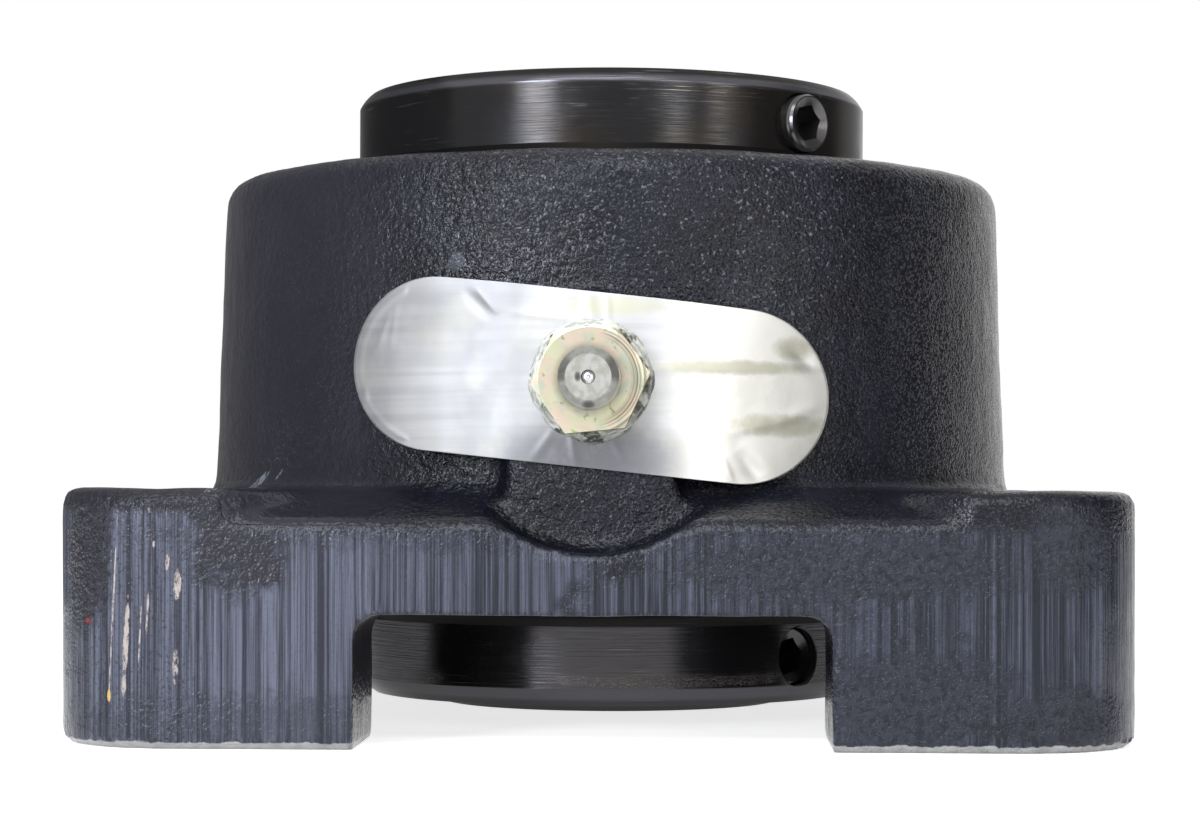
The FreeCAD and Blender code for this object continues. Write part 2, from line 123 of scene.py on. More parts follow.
def seen_rays(tree):
    """1 for rays from the camera, off gloss and through clear stuff, 0 for the rays that only light."""
    rays = add_node(tree, "ShaderNodeLightPath").outputs
    seen = math(tree, "MAXIMUM", rays["Is Camera Ray"], rays["Is Glossy Ray"])
    return math(tree, "MAXIMUM", seen, rays["Is Transmission Ray"])


def flat_sheet(name, corners, material):
    """A flat plane through four corners."""
    mesh = bpy.data.meshes.new(name)
    mesh.from_pydata(corners, [], [(0, 1, 2, 3)])
    mesh.materials.append(material)
    return put(name, mesh)


def soft_box(name, azimuth, distance, height, width, tall, power, color):
    """A lamp aimed at the object, at an azimuth in degrees to the right of the fitting."""
    lamp = bpy.data.lights.new(name, "AREA")
    lamp.shape = "RECTANGLE"
    lamp.size = width
    lamp.size_y = tall
    lamp.energy = power
    lamp.color = color
    place = Vector((distance * np.sin(radians(azimuth)), -distance * np.cos(radians(azimuth)), height))
    toward = lamp_aim - place
    box = put(name, lamp)
    box.matrix_world = Matrix.Translation(place) @ toward.to_track_quat("-Z", "Y").to_matrix().to_4x4()


white = (1, 1, 1, 1)
floor_half = 30.0
floor_glow = 0.75
fill_light = 0.25
pale, tree, shader = new_material("pale floor", (0.82, 0.82, 0.82), 0.9)
feed(tree, shader, {"Emission Strength": math(tree, "MULTIPLY", seen_rays(tree), floor_glow),
                    "Emission Color": white})
floor = flat_sheet("floor", [(-floor_half, -floor_half, 0), (floor_half, -floor_half, 0),
                             (floor_half, floor_half, 0), (-floor_half, floor_half, 0)], pale)

world = bpy.data.worlds.new("studio")
bpy.context.scene.world = world
world.use_nodes = True
tree = world.node_tree
feed(tree, tree.nodes["Background"], {"Strength": ramp(tree, seen_rays(tree), 0.0, 1.0, fill_light, 1.0),
                                      "Color": white})

lamp_aim = Vector((0, 0, 40 * MM))
soft_box("left box", -31, 0.9, 0.24, 0.2, 0.3, 4.7, (0.88, 0.92, 1.0))
soft_box("right box", 30, 0.9, 0.26, 0.15, 0.2, 0.9, (1.0, 0.97, 0.93))
soft_box("small box", 50, 0.9, 0.2, 0.1, 0.14, 0.5, (1.0, 0.99, 0.97))
soft_box("front box", -9, 0.78, 0.6, 0.5, 0.15, 3.5, (0.88, 0.93, 1.0))
soft_box("top box", -8, 0.5, 0.8, 0.7, 0.3, 4.1, (0.96, 0.98, 1.0))

card_glow = 0.175
card_height = 0.36
grey_card, tree, shader = new_material("grey card", (0.02, 0.02, 0.02), 0.9)
feed(tree, shader, {"Emission Color": white, "Emission Strength": card_glow})
for name, (near_x, near_y), (far_x, far_y) in (("left_card", (-0.08, 0.36), (-0.42, -0.14)),
                                               ("right_card", (0.31, -0.16), (0.27, 0.17))):
    card = flat_sheet(name, [(near_x, near_y, 0), (far_x, far_y, 0),
                             (far_x, far_y, card_height), (near_x, near_y, card_height)], grey_card)
    card.visible_camera = card.visible_diffuse = card.visible_shadow = card.visible_transmission = False


# Housing: one iron sand casting, painted dark blue-grey. The mould leaves a coarse grain on it, and the
# sides of its flange and the undersides of its feet are ground flat. The skin is the solid's own form,
# remeshed and roughened.
def smooth_noise(points, size, seed):
    """Random numbers on the corners of cubes of a size, blended inside each cube by a smooth step."""
    table = np.random.default_rng(seed).random((grain_lattice,) * 3)
    cell = np.floor(points / size).astype(int)
    part = points / size - cell
    part = part * part * (3 - 2 * part)
    total = np.zeros(len(points))
    for corner in np.ndindex(2, 2, 2):
        weight = np.prod(np.where(corner, part, 1 - part), axis=1)
        total += weight * table[tuple(((cell + corner) % grain_lattice).T)]
    return total * 2 - 1


def read_vectors(items, key):
    """One vector of three numbers for each vertex or normal of a mesh."""
    values = np.empty(len(items) * 3)
    items.foreach_get(key, values)
    return values.reshape(-1, 3)


def link_piece(name, mesh, material, body):
    """Put a finished mesh into the scene as a smooth piece that moves with a body."""
    piece = put(name, mesh)
    mesh.materials.clear()
    mesh.materials.append(material)
    mesh.polygons.foreach_set("use_smooth", np.ones(len(mesh.polygons), dtype=bool))
    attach(piece, body)
    return piece


grain_lattice = 64
half_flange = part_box("housing")[1][0]
weld_gap = 0.002 * MM
cast_voxel = 0.85 * MM
lump_size = 7.0 * MM
lump_depth = 0.09 * MM
pit_size = 2.2 * MM
pit_depth = 0.045 * MM
bore_clear = 38.2 * MM
ground_foot = 0.6 * MM
rough_copy = put("rough_copy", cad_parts["housing"].data.copy())
weld = rough_copy.modifiers.new("weld", "WELD")
weld.merge_threshold = weld_gap
remesh = rough_copy.modifiers.new("cast", "REMESH")
remesh.mode = "VOXEL"
remesh.voxel_size = cast_voxel
ease = rough_copy.modifiers.new("ease", "SMOOTH")
ease.factor = 0.5
ease.iterations = 2
bpy.context.view_layer.update()
cast_mesh = bpy.data.meshes.new_from_object(rough_copy.evaluated_get(bpy.context.evaluated_depsgraph_get()))
bpy.data.objects.remove(rough_copy)
cast_mesh.name = "cast_housing"
place = read_vectors(cast_mesh.vertices, "co")
outward = read_vectors(cast_mesh.vertex_normals, "vector")
is_cast = (np.hypot(place[:, 0], place[:, 1]) > bore_clear) & (place[:, 2] > ground_foot)
height = lump_depth * smooth_noise(place, lump_size, 1) + pit_depth * smooth_noise(place, pit_size, 2)
place += outward * (height * is_cast)[:, None]
place = np.clip(place, *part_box("housing"))
cast_mesh.vertices.foreach_set("co", place.ravel())


def position(tree):
    """The place of a point of the surface in metres."""
    return add_node(tree, "ShaderNodeTexCoord").outputs["Object"]


def parted(tree, vector=None):
    """The three parts of a vector, or else of the place of a point: across, back and up."""
    return tuple(add_node(tree, "ShaderNodeSeparateXYZ", {"Vector": vector or position(tree)}).outputs)


def stretched(tree, scale, turn=(0, 0, 0)):
    """The place of a point, turned and then scaled along each axis."""
    mapping = add_node(tree, "ShaderNodeMapping",
                       {"Vector": position(tree), "Scale": scale, "Rotation": turn})
    return mapping.outputs["Vector"]


def noise(tree, size, detail=2.0, roughness=0.5, vector=None):
    """Soft random values from 0 to 1 with lumps of about the given size in metres."""
    node = add_node(tree, "ShaderNodeTexNoise", {"Vector": vector or position(tree), "Scale": 1 / size,
                                                 "Detail": detail, "Roughness": roughness})
    return node.outputs["Fac"]


def lines_along(tree, scale, detail, roughness, turn=(0, 0, 0)):
    """Noise drawn out to lines: lumps per metre along each axis of the turned place."""
    return noise(tree, 1.0, detail, roughness, stretched(tree, scale, turn))


def times(tree, value, *factors):
    """Product of values or sockets."""
    for factor in factors:
        value = math(tree, "MULTIPLY", value, factor)
    return value


def plus(tree, value, *terms):
    """Sum of values or sockets."""
    for term in terms:
        value = math(tree, "ADD", value, term)
    return value


def hypotenuse(tree, a, b):
    """Length of a step of a one way and b square to it."""
    return math(tree, "SQRT", plus(tree, math(tree, "POWER", a, 2), math(tree, "POWER", b, 2)))


def blend(tree, amount, a, b, kind="RGBA"):
    """Two colours, or two vectors, mixed by an amount from 0 to 1."""
    node = add_node(tree, "ShaderNodeMix", {"Factor": amount}, data_type=kind)
    for name, value in (("A", a), ("B", b)):
        socket = [s for s in node.inputs if s.name == name and s.type == kind][0]
        if isinstance(value, bpy.types.NodeSocket):
            tree.links.new(value, socket)
        else:
            socket.default_value = (*value, 1)
    return [s for s in node.outputs if s.type == kind][0]


def bump(tree, height, depth):
    """Normals tilted by a height from 0 to 1 that stands for a depth in metres."""
    inputs = {"Height": height, "Distance": depth, "Strength": 1.0}
    return add_node(tree, "ShaderNodeBump", inputs).outputs["Normal"]


def front_spots(tree, spots, ragged=1.6, soft=0.35, lean=0.0):
    """1 inside any of several ragged ovals seen from the front, 0 outside them. Each has its place
    and its half sizes in millimetres; the edge is as soft as asked for, and an oval leans to the
    right by a share of its height."""
    east, _, north = parted(tree)
    edge = times(tree, math(tree, "SUBTRACT", noise(tree, 1.5 * MM, 4.0, 0.7), 0.5), 2 * ragged)
    nearest = 1e6
    for x, z, wide, tall in spots:
        rise = math(tree, "SUBTRACT", north, z * MM)
        over = math(tree, "SUBTRACT", math(tree, "SUBTRACT", east, x * MM), times(tree, rise, lean))
        over = math(tree, "POWER", math(tree, "DIVIDE", over, wide * MM), 2)
        up = math(tree, "POWER", math(tree, "DIVIDE", rise, tall * MM), 2)
        nearest = math(tree, "MINIMUM", nearest, plus(tree, over, up))
    return ramp(tree, plus(tree, nearest, edge), 1 + soft, 1 - soft)


# Spots on the front, in millimetres: each one's place across and up, then its half width and half height.
missed_spots = [(27, 19.5, 17, 4.2), (33, 5.5, 12, 6.0), (50.6, 21.5, 4.5, 4.5), (50, 3.5, 6, 3.5),
                (-37.5, 21.5, 5.0, 4.5), (-54, 21, 2.8, 8)]
faint_spots = [(27, 12, 14, 6), (-10, 3, 60, 3), (6, 23, 50, 2.0)]
chip_spots = [(-49.6, 10.8, 0.27, 5.4), (-51.05, 15, 0.1, 8), (-43.95, 17.7, 0.36, 1.5),
              (-44.15, 8.6, 0.3, 1.7), (-47.2, 14.2, 0.13, 2.4), (-46.5, 21.8, 0.18, 0.5),
              (-45.05, 19.9, 0.22, 0.8), (-48.0, 12, 0.08, 3.4), (-47.0, 25.4, 0.16, 0.2)]
scuff_spots = [(-39.9, 28.5, 0.22, 1.1), (-39.3, 28.7, 0.18, 1.1), (-40.6, 28.1, 0.14, 0.8),
               (-37.1, 29.3, 0.12, 0.6)]
paint_gloss = 0.23
corner_radius = 13 * MM
cast_grain_depth = 0.32 * MM
scored_depth = 0.13 * MM
paint, tree, shader = new_material("housing paint", (0.012, 0.013, 0.02), 0.3)
across, depth_way, upward = parted(tree)
corner_start = half_flange - corner_radius
past_x = math(tree, "MAXIMUM", math(tree, "SUBTRACT", math(tree, "ABSOLUTE", across), corner_start), 0)
past_y = math(tree, "MAXIMUM", math(tree, "SUBTRACT", math(tree, "ABSOLUTE", depth_way), corner_start), 0)
on_side = ramp(tree, hypotenuse(tree, past_x, past_y), corner_radius - 0.5 * MM, corner_radius - 0.25 * MM)
front_only = ramp(tree, depth_way, 0, -2 * MM)

# The grinding has left out some patches of the sides and a ragged strip along their top edge.
missed = front_spots(tree, missed_spots, soft=0.7)
faint = front_spots(tree, faint_spots, ragged=2.4, soft=0.9)
missed = times(tree, math(tree, "MAXIMUM", missed, times(tree, faint, 0.5)), front_only)
patches = ramp(tree, noise(tree, 14 * MM, 3.0, 0.6), 0.3, 0.42)
top_edge = plus(tree, upward, times(tree, noise(tree, 2.4 * MM, 5.0, 0.8), 2.6 * MM))
top_edge = math(tree, "SUBTRACT", top_edge, ramp(tree, across, -41 * MM, -44 * MM, 0.0, 2.0 * MM))
ground = times(tree, on_side, math(tree, "SUBTRACT", patches, missed))
ground = math(tree, "MAXIMUM", times(tree, ground, ramp(tree, top_edge, 25.2 * MM, 23.8 * MM)), 0)

# The cast grain is finer on the right and calmer on the barrel's left; the ground sides are scored upright.
fine_grain = noise(tree, 0.36 * MM)
coarse_grain = noise(tree, 0.85 * MM)
strong = ramp(tree, noise(tree, 16 * MM), 0.35, 0.65, 0.7, 1.2)
dots = times(tree, ramp(tree, fine_grain, 0.5, 0.74), ramp(tree, across, -6 * MM, 9 * MM, 0.11, 0.22))
coarse_share = ramp(tree, across, -6 * MM, 9 * MM, 1.0, 0.5)
grain = plus(tree, times(tree, fine_grain, 0.35), times(tree, coarse_grain, coarse_share), dots)
calm = ramp(tree, across, -30 * MM, -18 * MM, 0.5, 1.0)
calm = math(tree, "MAXIMUM", calm, ramp(tree, depth_way, 0, 10 * MM))
grain = times(tree, grain, strong, math(tree, "MAXIMUM", calm, on_side))
lines = lines_along(tree, (1900, 1900, 14), 3.0, 0.75)
fine_lines = lines_along(tree, (5600, 5600, 55), 2.0, 0.6)
wide_lines = lines_along(tree, (480, 480, 9), 2.0, 0.6)
scored = plus(tree, lines, times(tree, wide_lines, 0.45), times(tree, fine_lines, 0.55))
cast_relief = bump(tree, grain, cast_grain_depth)
scored_relief = bump(tree, plus(tree, scored, times(tree, fine_grain, 0.3)), scored_depth)

# Colour: dark paint in blotches with a haze in the missed patches, a calmer left part and painted glints
# in the middle of the barrel; lighter score lines on the ground sides, brightest at the left by painted
# light.
blotches = ramp(tree, noise(tree, 9 * MM, 4.0, 0.65), 0.35, 0.7)
cast_color = blend(tree, blotches, (0.004, 0.0041, 0.0072), (0.0085, 0.0095, 0.0165))
hazy = times(tree, missed, on_side, ramp(tree, coarse_grain, 0.35, 0.6, 0.35, 1.0),
             ramp(tree, across, -51 * MM, -46 * MM, 0.2, 1.0))
cast_color = blend(tree, hazy, cast_color, (0.024, 0.026, 0.039))
quiet = times(tree, math(tree, "SUBTRACT", 1.0, calm), 1.4)
cast_color = blend(tree, quiet, cast_color, (0.023, 0.0222, 0.03))
# Painted glints: light bluish specks in the middle of the barrel, denser towards its top.
painted_glints = times(tree, ramp(tree, noise(tree, 0.42 * MM, 1.0), 0.62, 0.74),
                ramp(tree, across, -24 * MM, -12 * MM), ramp(tree, across, 36 * MM, 22 * MM),
                ramp(tree, upward, 34 * MM, 58 * MM, 0.25, 0.8), front_only)
cast_color = blend(tree, painted_glints, cast_color, (0.13, 0.135, 0.16))
line_color = blend(tree, ramp(tree, scored, 0.84, 1.24), (0.01, 0.011, 0.0175), (0.076, 0.082, 0.116))
# Painted light: towards the left the score lines get a lighter colour, standing for the light that falls from
# that side.
painted_lit_lines = blend(tree, ramp(tree, scored, 0.82, 1.24), (0.018, 0.02, 0.03), (0.118, 0.127, 0.172))
line_color = blend(tree, ramp(tree, across, -4 * MM, -30 * MM), line_color, painted_lit_lines)
speckle = times(tree, ramp(tree, noise(tree, 0.4 * MM, 3.0, 0.7), 0.5, 0.72),
                ramp(tree, across, -40 * MM, -44 * MM, 0.25, 0.85))
line_color = blend(tree, speckle, line_color, (0.012, 0.013, 0.02))
painted = blend(tree, ground, cast_color, line_color)

# Wear on the front: scuffs and a smudge, chips down to the filler, a rust spot and a red fleck. The
# bottom edges of the feet are bare metal.
chip_grain = lines_along(tree, (1900, 1900, 800), 4.0, 0.75)
chip_color = blend(tree, chip_grain, (0.26, 0.2, 0.19), (0.5, 0.45, 0.41))
chips = times(tree, front_spots(tree, chip_spots, ragged=2.0, lean=0.05), ramp(tree, chip_grain, 0.38, 0.54))
scuffs = times(tree, front_spots(tree, scuff_spots, ragged=1.2, lean=0.8), ramp(tree, chip_grain, 0.38, 0.56))
smudge = times(tree, front_spots(tree, [(-15.6, 52.8, 0.95, 0.85)], 1.2, 0.4), 0.7)
rust = front_spots(tree, [(-51.5, 5.6, 0.2, 0.6)], 1.4)
fleck = front_spots(tree, [(-54.1, 13.5, 0.35, 0.35)], 1.2, 0.8)
for mark, mark_color in ((scuffs, (0.16, 0.175, 0.2)), (smudge, (0.07, 0.075, 0.095)), (chips, chip_color),
                         (rust, (0.55, 0.36, 0.12)), (fleck, (0.14, 0.02, 0.022))):
    painted = blend(tree, times(tree, mark, front_only), painted, mark_color)
wavy_edge = plus(tree, upward, times(tree, noise(tree, 1.6 * MM, 4.0), -1.1 * MM))
metal = blend(tree, noise(tree, 1.2 * MM, 4.0), (0.2, 0.195, 0.2), (0.5, 0.49, 0.48))
painted = blend(tree, ramp(tree, wavy_edge, 0.32 * MM, 0.16 * MM), painted, metal)
feed(tree, shader, {"Base Color": painted, "Specular IOR Level": paint_gloss,
                    "Normal": blend(tree, ground, cast_relief, scored_relief, "VECTOR"),
                    "Roughness": ramp(tree, noise(tree, 2.2 * MM, 3.0), 0.35, 0.65, 0.12, 0.2)})
housing = link_piece("cast_housing", cast_mesh, paint, "flange_unit")
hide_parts("housing")


# Locking collars: turned steel rings with a black oxide finish, clamped on the inner ring's ends. Fine
# tool lines run round them, and handling has left them with a few light scratches.
def dress(material, *names):
    """Give solids of the frame a material."""
    for name in names:
        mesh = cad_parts[name].data
        mesh.materials.clear()
        mesh.materials.append(material)


collar_black, tree, shader = new_material("collar steel", (0.025, 0.023, 0.023), 0.2, 0.75)
upward = parted(tree)[2]
tool_lines = lines_along(tree, (40, 40, 4200), 3.0, 0.7)
marks = lines_along(tree, (110, 110, 4200), 4.0, 0.7)
rubbed = ramp(tree, noise(tree, 12 * MM, 3.0), 0.44, 0.58)
near_top = times(tree, ramp(tree, upward, 72.0 * MM, 74.6 * MM), 0.05)
worn = times(tree, ramp(tree, plus(tree, marks, near_top), 0.61, 0.72), rubbed)
dust = noise(tree, 0.2 * MM, 3.0, 0.7)
low_band = times(tree, ramp(tree, upward, 4.7 * MM, 5.2 * MM), ramp(tree, upward, 6.9 * MM, 5.6 * MM),
                 ramp(tree, dust, 0.42, 0.66), rubbed)
# The bevels are lighter: partly edges polished by handling, partly a painted reflection of the light above
# the upper collar and of the floor below the lower one.
top_bevel = times(tree, ramp(tree, upward, 74.5 * MM, 74.9 * MM), ramp(tree, upward, 75.9 * MM, 75.2 * MM))
low_bevel = times(tree, ramp(tree, upward, 3.0 * MM, 3.7 * MM), ramp(tree, upward, 4.9 * MM, 4.5 * MM))
bevel_polish_and_reflection = math(tree, "MAXIMUM", top_bevel, low_bevel)
nicks = times(tree, ramp(tree, noise(tree, 0.9 * MM, 3.0), 0.7, 0.76),
              ramp(tree, noise(tree, 7 * MM), 0.55, 0.62))
relief = math(tree, "SUBTRACT", tool_lines, times(tree, nicks, 1.5))
brown = ramp(tree, noise(tree, 15 * MM), 0.4, 0.6)
oxide_and_painted_light = blend(tree, brown, (0.021, 0.0208, 0.0225), (0.026, 0.0225, 0.02))
# Painted light: the lower collar, which the housing shades, is given a lighter colour.
oxide_and_painted_light = blend(tree, ramp(tree, upward, 30 * MM, 20 * MM), oxide_and_painted_light, (0.05, 0.047, 0.05))
oxide_and_painted_light = blend(tree, worn, oxide_and_painted_light, (0.13, 0.125, 0.12))
oxide_and_painted_light = blend(tree, times(tree, bevel_polish_and_reflection, 0.8), oxide_and_painted_light, (0.1, 0.1, 0.112))
oxide_and_painted_light = blend(tree, times(tree, low_band, 0.8), oxide_and_painted_light, (0.15, 0.135, 0.11))
feed(tree, shader, {"Base Color": oxide_and_painted_light, "Specular Tint": (0.5, 0.5, 0.5, 1),
                    "Normal": bump(tree, plus(tree, relief, times(tree, low_band, dust)), 0.03 * MM),
                    "Roughness": ramp(tree, noise(tree, 6 * MM, 3.0), 0.3, 0.7, 0.14, 0.25)})
dress(collar_black, "upper_collar", "lower_collar", "upper_inner_ring", "lower_inner_ring")

# Set screws: black alloy steel with a hexagon socket, cleaner and shinier than the collars that they
# are screwed into. The upper pair stands a little proud.
screw_black, tree, shader = new_material("screw steel", (0.095, 0.092, 0.094), 0.22, 0.9)
feed(tree, shader, {"Normal": bump(tree, noise(tree, 0.8 * MM), 0.01 * MM)})
dress(screw_black, "upper_front_set_screw", "upper_rear_set_screw", "lower_front_set_screw",
      "lower_rear_set_screw")

# Bearing: ground races and rollers of hardened steel, pressed in and running in pressed cages. Pressed
# seal cases with rubber lips close its ends.
ground_steel, tree, shader = new_material("ground steel", (0.5, 0.5, 0.51), 0.18, 1.0)
feed(tree, shader, {"Normal": bump(tree, lines_along(tree, (100, 100, 8000), 2.0, 0.6), 0.004 * MM)})
rollers = [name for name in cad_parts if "roller" in name]
dress(ground_steel, "lower_cup", "upper_cup", "inner_ring_spacer", "grease_fitting_ball", *rollers)
pressed_steel, tree, shader = new_material("pressed steel", (0.33, 0.32, 0.31), 0.35, 1.0)
feed(tree, shader, {"Normal": bump(tree, noise(tree, 1.5 * MM, 3.0), 0.02 * MM)})
dress(pressed_steel, "lower_cage", "upper_cage", "lower_seal_case", "upper_seal_case",
      "grease_fitting_spring")
rubber, tree, shader = new_material("seal rubber", (0.02, 0.018, 0.018), 0.55)
feed(tree, shader, {"Normal": bump(tree, noise(tree, 1.2 * MM, 3.0), 0.02 * MM)})
dress(rubber, "lower_seal_lip", "upper_seal_lip")


# Label: thin aluminium foil, die-cut with round ends and stuck over the boss and the barrel. It rolls
# off the boss on both sides, is creased round the fitting and at its right end, and has glue stains.
def link_grid(name, points, material, body):
    """A piece from a grid of points (rows, columns, 3) whose columns close to a loop."""
    rows, columns = points.shape[:2]
    index = np.arange(rows * columns).reshape(rows, columns)
    index = np.hstack([index, index[:, :1]])
    quads = np.stack([index[:-1, :-1], index[:-1, 1:], index[1:, 1:], index[1:, :-1]], axis=-1).reshape(-1, 4)
    mesh = bpy.data.meshes.new(name)
    mesh.from_pydata(points.reshape(-1, 3).tolist(), [], quads.tolist())
    return link_piece(name, mesh, material, body)


bearing_mid = 39.5 * MM
boss_offset = -0.4 * MM
boss_half = 9.5 * MM
boss_face = 51.5 * MM
label_length = 53.2 * MM
label_tall = 19.0 * MM
label_tilt = radians(6)
label_middle = np.array([-0.95 * MM, 39.6 * MM])
foil_skin = 0.15 * MM
foil_thickness = 0.14 * MM
foil_hole = 6.4 * MM
roll_start = 6.5 * MM
roll_rate = 0.0258 / MM
edge_round = 1.2 * MM
foil_float = 0.05 * MM
rim_fold_radius = 8.7 * MM
rim_fold_half = 0.35 * MM
rim_fold_height = 0.1 * MM
barrel_foot_radius = 49.15 * MM
barrel_foot = 27.7 * MM
barrel_slope = np.tan(radians(2))
# Each crease: its two ends across and up from the fitting, its half width and its height, in millimetres.
creases = np.array([(0.3, 5.8, -0.5, 9.6, 0.5, 0.11), (-0.9, 6.2, -0.9, 8.4, 0.35, 0.06),
                    (1.9, 6.0, 1.6, 9.0, 0.35, 0.08), (-4.2, -5.6, -6.4, -8.6, 0.45, 0.14),
                    (-2.2, -6.0, -1.6, -9.2, 0.4, 0.12), (2.2, -6.4, 3.4, -8.6, 0.35, 0.07),
                    (7.4, 1.2, 24.0, 1.4, 0.55, 0.1), (14.5, -5.6, 20.5, -4.2, 0.7, 0.22),
                    (20.5, -4.2, 25.0, -2.4, 0.7, 0.25), (8.5, -3.9, 15.0, -5.4, 0.4, 0.07),
                    (15.8, -7.4, 18.2, -10.6, 0.9, -0.35), (14.2, -8.4, 15.2, -11.2, 0.4, 0.2),
                    (22.0, 3.4, 24.2, 1.6, 0.8, -0.35), (-22.6, 7.6, -24.2, 3.4, 0.3, 0.1),
                    (-21.8, 8.4, -22.4, 4.0, 0.3, 0.07), (-13.4, 9.4, -11.4, 7.2, 0.6, -0.22),
                    (-12.4, 9.6, -10.4, 7.4, 0.3, 0.12), (-8.5, 7.3, -3.0, 6.6, 0.4, 0.08),
                    (-25.4, 0.0, -26.2, -5.0, 0.4, 0.12)]) * MM


def foil_outline(count):
    """Points (across, up) evenly spaced round the label: two straight edges joined by two half circles."""
    end = label_tall / 2
    straight = label_length - label_tall
    stations = np.cumsum([0, straight, np.pi * end, straight, np.pi * end])
    along = np.arange(count) / count * stations[-1]
    middle = np.interp(along, stations, np.array([-1, 1, 1, -1, -1]) * straight / 2)
    turn = np.interp(along, stations, np.array([0.5, 0.5, -0.5, -0.5, -1.5]) * np.pi)
    across = middle + end * np.cos(turn)
    rise = end * np.sin(turn)
    tilted = np.stack([across * np.cos(label_tilt) + rise * np.sin(label_tilt),
                       rise * np.cos(label_tilt) - across * np.sin(label_tilt)], axis=-1)
    return tilted + label_middle


def foil_depth(x, z):
    """How far the foil lies in front of the axis: level over the boss, and beyond a start on each side
    falling with the square of the way from there; never under the barrel or the boss, whose greater
    depth is blended in softly; plus creases, a ring-shaped fold round the left end and fine ripples."""
    barrel = np.sqrt((barrel_foot_radius - (z - barrel_foot) * barrel_slope) ** 2 - x ** 2)
    beside = np.hypot(x - boss_offset, np.maximum(z - bearing_mid, 0)) - boss_half
    rolled_off = roll_rate * np.maximum(np.abs(x - boss_offset) - roll_start, 0) ** 2
    depth = boss_face + foil_skin - rolled_off
    rounded = edge_round ** 2 - np.clip(beside + edge_round, 0, edge_round) ** 2
    rounded = edge_round - np.sqrt(np.maximum(rounded, 0))
    solid = np.maximum(barrel, np.where(beside < 0, boss_face - rounded, 0))
    from_a = np.stack([x - boss_offset, z - bearing_mid], axis=-1)[..., None, :] - creases[:, 0:2]
    run = creases[:, 2:4] - creases[:, 0:2]
    share = np.clip((from_a * run).sum(axis=-1) / (run ** 2).sum(axis=-1), 0, 1)
    away = np.linalg.norm(from_a - share[..., None] * run, axis=-1)
    folds = creases[:, 5] * np.exp(-(away / creases[:, 4]) ** 2) * np.sin(np.pi * (0.15 + 0.7 * share))
    spot = np.stack([x, depth, z], axis=-1).reshape(-1, 3)
    ripple = 0.22 * MM * smooth_noise(spot, 10 * MM, 8) + 0.05 * MM * smooth_noise(spot, 4 * MM, 3)
    ripple += 0.012 * MM * smooth_noise(spot, 1.4 * MM, 4)
    half_straight = (label_length - label_tall) / 2
    left_end = label_middle + np.array([-np.cos(label_tilt), np.sin(label_tilt)]) * half_straight
    from_end = np.hypot(x - left_end[0], z - left_end[1]) - rim_fold_radius
    rim_fold = rim_fold_height * np.exp(-(from_end / rim_fold_half) ** 2) * (x < left_end[0] - 3 * MM)
    loose = depth + folds.sum(axis=-1) + rim_fold + ripple.reshape(depth.shape)
    return foil_float * np.logaddexp(loose / foil_float, solid / foil_float)


foil, tree, shader = new_material("label foil", (0.44, 0.44, 0.445), 0.4, 0.85)
across = parted(tree)[0]
brushed = lines_along(tree, (60, 60, 4800), 3.0, 0.6, (0, label_tilt, 0))
rolled = lines_along(tree, (26, 26, 900), 2.0, 0.6, (0, label_tilt, 0))
sheen = blend(tree, ramp(tree, rolled, 0.35, 0.65), (0.42, 0.42, 0.43), (0.48, 0.48, 0.485))
# Painted light: the foil right of the boss is given a lighter, warmer colour.
sheen = blend(tree, ramp(tree, across, 5 * MM, 12 * MM), sheen, (0.7, 0.685, 0.645))
# Painted shade: a band of the foil left of the boss is darkened, damping the lamp's highlight there.
painted_dim_band = times(tree, ramp(tree, across, -6 * MM, -9 * MM), ramp(tree, across, -17 * MM, -13 * MM, 0.0, 0.7))
sheen = blend(tree, painted_dim_band, sheen, (0.27, 0.27, 0.28))
low_shade = front_spots(tree, [(-0.5, 30.8, 9.0, 4.4)], ragged=0.12, soft=0.98)
sheen = blend(tree, low_shade, sheen, (0.14, 0.14, 0.15))
end_shade = front_spots(tree, [(-26.5, 41.0, 4, 9), (-20, 47, 8, 3)], ragged=0.12, soft=0.98)
sheen = blend(tree, times(tree, end_shade, 0.35), sheen, (0.2, 0.2, 0.21))
stain = times(tree, ramp(tree, noise(tree, 6 * MM, 4.0, 0.6), 0.48, 0.68), 0.25)
glue_spots = [(15, 41.0, 8.5, 0.75), (20, 34.8, 5, 1.2), (21.5, 43.2, 2.0, 1.2), (2, 47.5, 5, 1.0)]
glue = front_spots(tree, glue_spots, ragged=0.9, soft=0.9)
feed(tree, shader, {"Base Color": blend(tree, math(tree, "MAXIMUM", stain, glue), sheen, (0.46, 0.45, 0.37)),
                    "Normal": bump(tree, plus(tree, brushed, times(tree, rolled, 0.8)), 0.008 * MM),
                    "Roughness": ramp(tree, noise(tree, 5 * MM, 3.0), 0.3, 0.7, 0.48, 0.58)})
outline = foil_outline(420)
aim = np.arctan2(outline[:, 1] - bearing_mid, outline[:, 0] - boss_offset)
hole = np.stack([boss_offset + foil_hole * np.cos(aim), bearing_mid + foil_hole * np.sin(aim)], axis=-1)
share = np.linspace(0, 1, 70)[:, None, None]
flat = hole * (1 - share) + outline * share
front = foil_depth(flat[..., 0], flat[..., 1]) + foil_skin
sheet = np.stack([flat[..., 0], -front, flat[..., 1]], axis=-1)
label = link_grid("creased_label", sheet, foil, "flange_unit")
skin = label.modifiers.new("thickness", "SOLIDIFY")
skin.thickness = foil_thickness
skin.offset = -1
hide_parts("foil_label")


